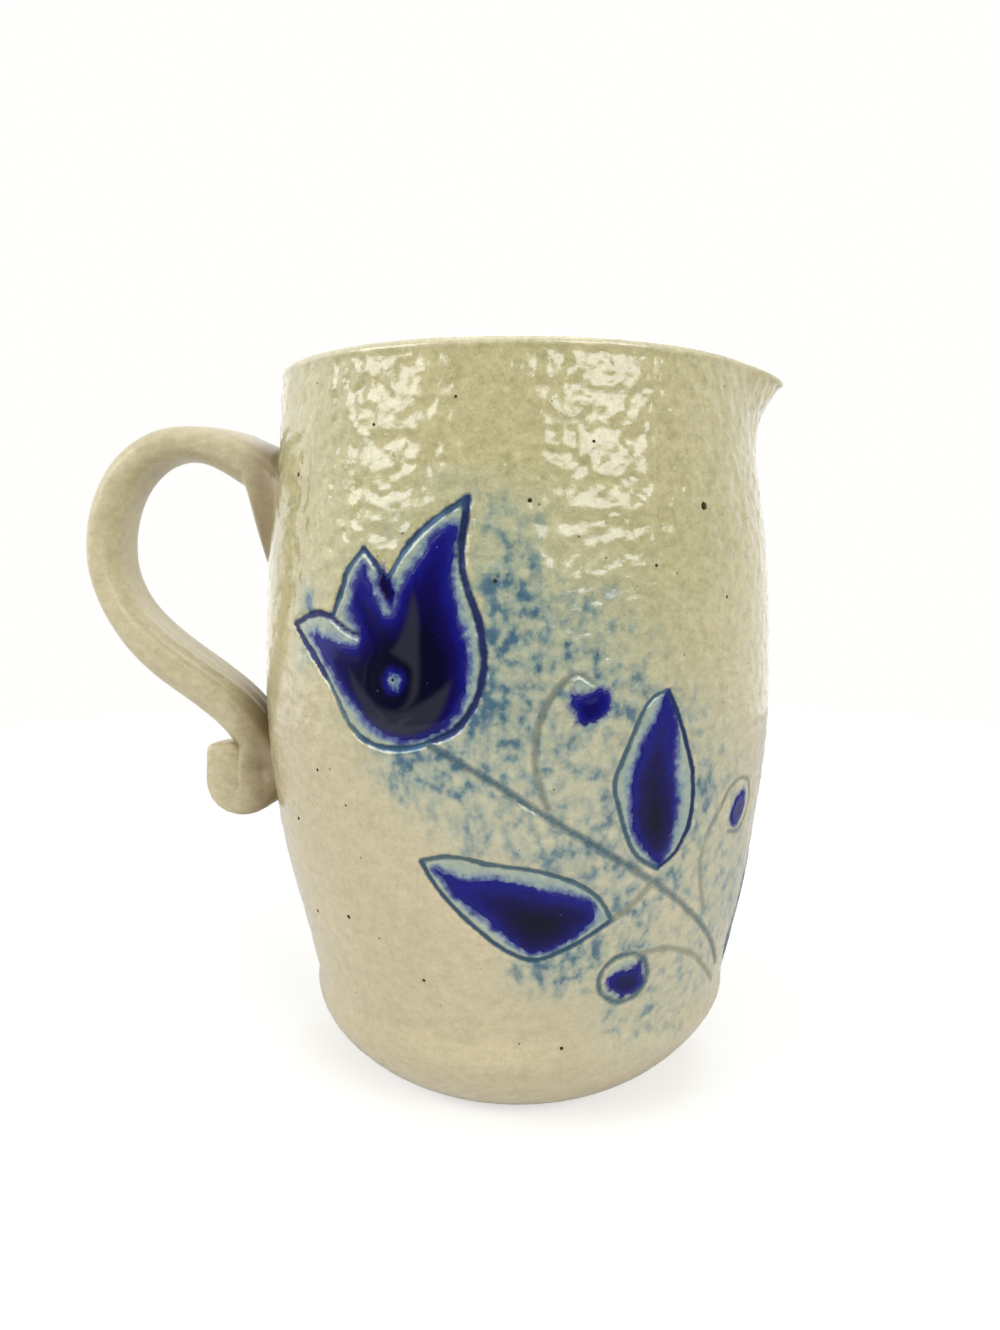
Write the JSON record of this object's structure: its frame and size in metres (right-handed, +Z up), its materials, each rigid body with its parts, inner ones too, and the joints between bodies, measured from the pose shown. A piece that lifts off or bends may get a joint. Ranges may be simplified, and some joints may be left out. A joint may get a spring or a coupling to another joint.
{
  "type": "stoneware creamer",
  "caption": "Small thrown jug with a pulled pouring lip, a strap handle with a curled tail and cobalt glass fills set in its wall, for serving cream or milk.",
  "frame": {"origin": "middle of the flat base, on the jug's turning axis", "axes": "+Z up along the turning axis, +X towards the pouring lip, -X towards the handle, -Y towards the incised spray"},
  "size_m": [0.1066, 0.0774, 0.108],
  "materials": {
    "body_stoneware": "salt glaze with an orange-peel skin, olive beige with iron specks",
    "handle_stoneware": "smoother salt glaze, tan, brown at the joints",
    "cobalt_glass": "deep glossy cobalt blue glass"
  },
  "bodies": {
    "root": {"thrown_body": "body_stoneware", "pulled_handle": "handle_stoneware", "cobalt_tulip": "cobalt_glass", "cobalt_petal_notch": "cobalt_glass", "cobalt_leaf_low": "cobalt_glass", "cobalt_leaf_high": "cobalt_glass", "cobalt_leaf_far": "cobalt_glass", "cobalt_bud_high": "cobalt_glass", "cobalt_bud_low": "cobalt_glass", "cobalt_bud_far": "cobalt_glass"}
  },
  "joints": []
}
